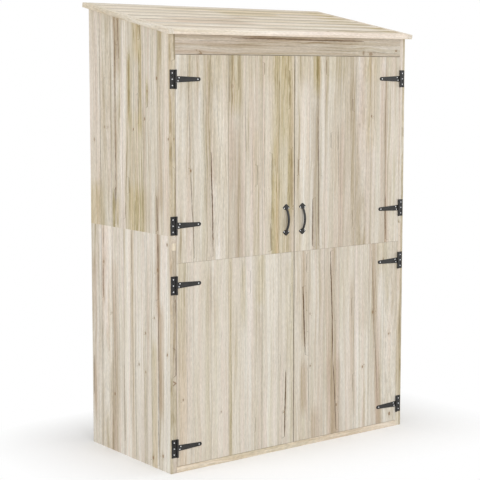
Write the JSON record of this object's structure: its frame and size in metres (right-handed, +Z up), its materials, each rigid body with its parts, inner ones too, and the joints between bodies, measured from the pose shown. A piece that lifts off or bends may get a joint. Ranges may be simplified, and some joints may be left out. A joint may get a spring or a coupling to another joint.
{
  "type": "garden storage cabinet",
  "caption": "Tall two-tier wooden garden storage cabinet with boarded doors on T hinges, slatted shelves and a boarded roof that slopes to the front.",
  "frame": {"origin": "middle of the footprint's bounding box at the ground", "axes": "+X to the cabinet's right seen from the front, +Y from the doors to the back wall, +Z up"},
  "size_m": [1.171, 0.5836, 1.7028],
  "materials": {
    "board_wood": "planed, untreated softwood",
    "framing_wood": "sawn and planed softwood battens",
    "black_metal": "black satin coating",
    "strike_steel": "zinc plated",
    "catch_plastic": "matt moulded"
  },
  "bodies": {
    "carcass": {"back_lower_boards": "board_wood", "back_rails": "framing_wood", "back_upper_boards": "board_wood", "bottom_front_rail": "framing_wood", "door_catches": "catch_plastic", "floor_boards": "board_wood", "frieze_board": "framing_wood", "left_floor_bearer": "framing_wood", "left_hinge_plates": "black_metal", "left_lower_front_post": "framing_wood", "left_lower_rear_post": "framing_wood", "left_lower_side_boards": "board_wood", "left_lower_side_rails": "framing_wood", "left_roof_trim": "framing_wood", "left_upper_front_post": "framing_wood", "left_upper_rear_post": "framing_wood", "left_upper_side_boards": "board_wood", "left_upper_side_rails": "framing_wood", "lower_shelf_slats": "framing_wood", "middle_front_rail": "framing_wood", "middle_shelf_slats": "framing_wood", "right_floor_bearer": "framing_wood", "right_hinge_plates": "black_metal", "right_lower_front_post": "framing_wood", "right_lower_rear_post": "framing_wood", "right_lower_side_boards": "board_wood", "right_lower_side_rails": "framing_wood", "right_roof_trim": "framing_wood", "right_upper_front_post": "framing_wood", "right_upper_rear_post": "framing_wood", "right_upper_side_boards": "board_wood", "right_upper_side_rails": "framing_wood", "roof_boards": "board_wood", "roof_rafter": "framing_wood", "shelf_ties": "framing_wood", "top_front_rail": "framing_wood", "upper_shelf_slats": "framing_wood"},
    "upper_left_door": {"upper_left_door_boards": "board_wood", "upper_left_door_brace": "framing_wood", "upper_left_door_handle": "black_metal", "upper_left_door_hinge_straps": "black_metal", "upper_left_door_ledges": "framing_wood", "upper_left_door_strike_plate": "strike_steel"},
    "upper_right_door": {"upper_right_door_boards": "board_wood", "upper_right_door_brace": "framing_wood", "upper_right_door_handle": "black_metal", "upper_right_door_hinge_straps": "black_metal", "upper_right_door_ledges": "framing_wood", "upper_right_door_strike_plate": "strike_steel"},
    "lower_left_door": {"lower_left_door_boards": "board_wood", "lower_left_door_brace": "framing_wood", "lower_left_door_hinge_straps": "black_metal", "lower_left_door_ledges": "framing_wood", "lower_left_door_strike_plate": "strike_steel"},
    "lower_right_door": {"lower_right_door_boards": "board_wood", "lower_right_door_brace": "framing_wood", "lower_right_door_hinge_straps": "black_metal", "lower_right_door_ledges": "framing_wood", "lower_right_door_strike_plate": "strike_steel"}
  },
  "joints": [
    {"name": "upper_left_door_hinge", "type": "hinge", "parent": "carcass", "child": "upper_left_door", "pos_m": [-0.5415, -0.27135, 1.414], "axis": [0, 0, -1], "range_deg": [0, 180]},
    {"name": "upper_right_door_hinge", "type": "hinge", "parent": "carcass", "child": "upper_right_door", "pos_m": [0.5415, -0.27135, 1.414], "axis": [0, 0, 1], "range_deg": [0, 180]},
    {"name": "lower_left_door_hinge", "type": "hinge", "parent": "carcass", "child": "lower_left_door", "pos_m": [-0.5415, -0.27135, 0.684], "axis": [0, 0, -1], "range_deg": [0, 180]},
    {"name": "lower_right_door_hinge", "type": "hinge", "parent": "carcass", "child": "lower_right_door", "pos_m": [0.5415, -0.27135, 0.684], "axis": [0, 0, 1], "range_deg": [0, 180]}
  ]
}
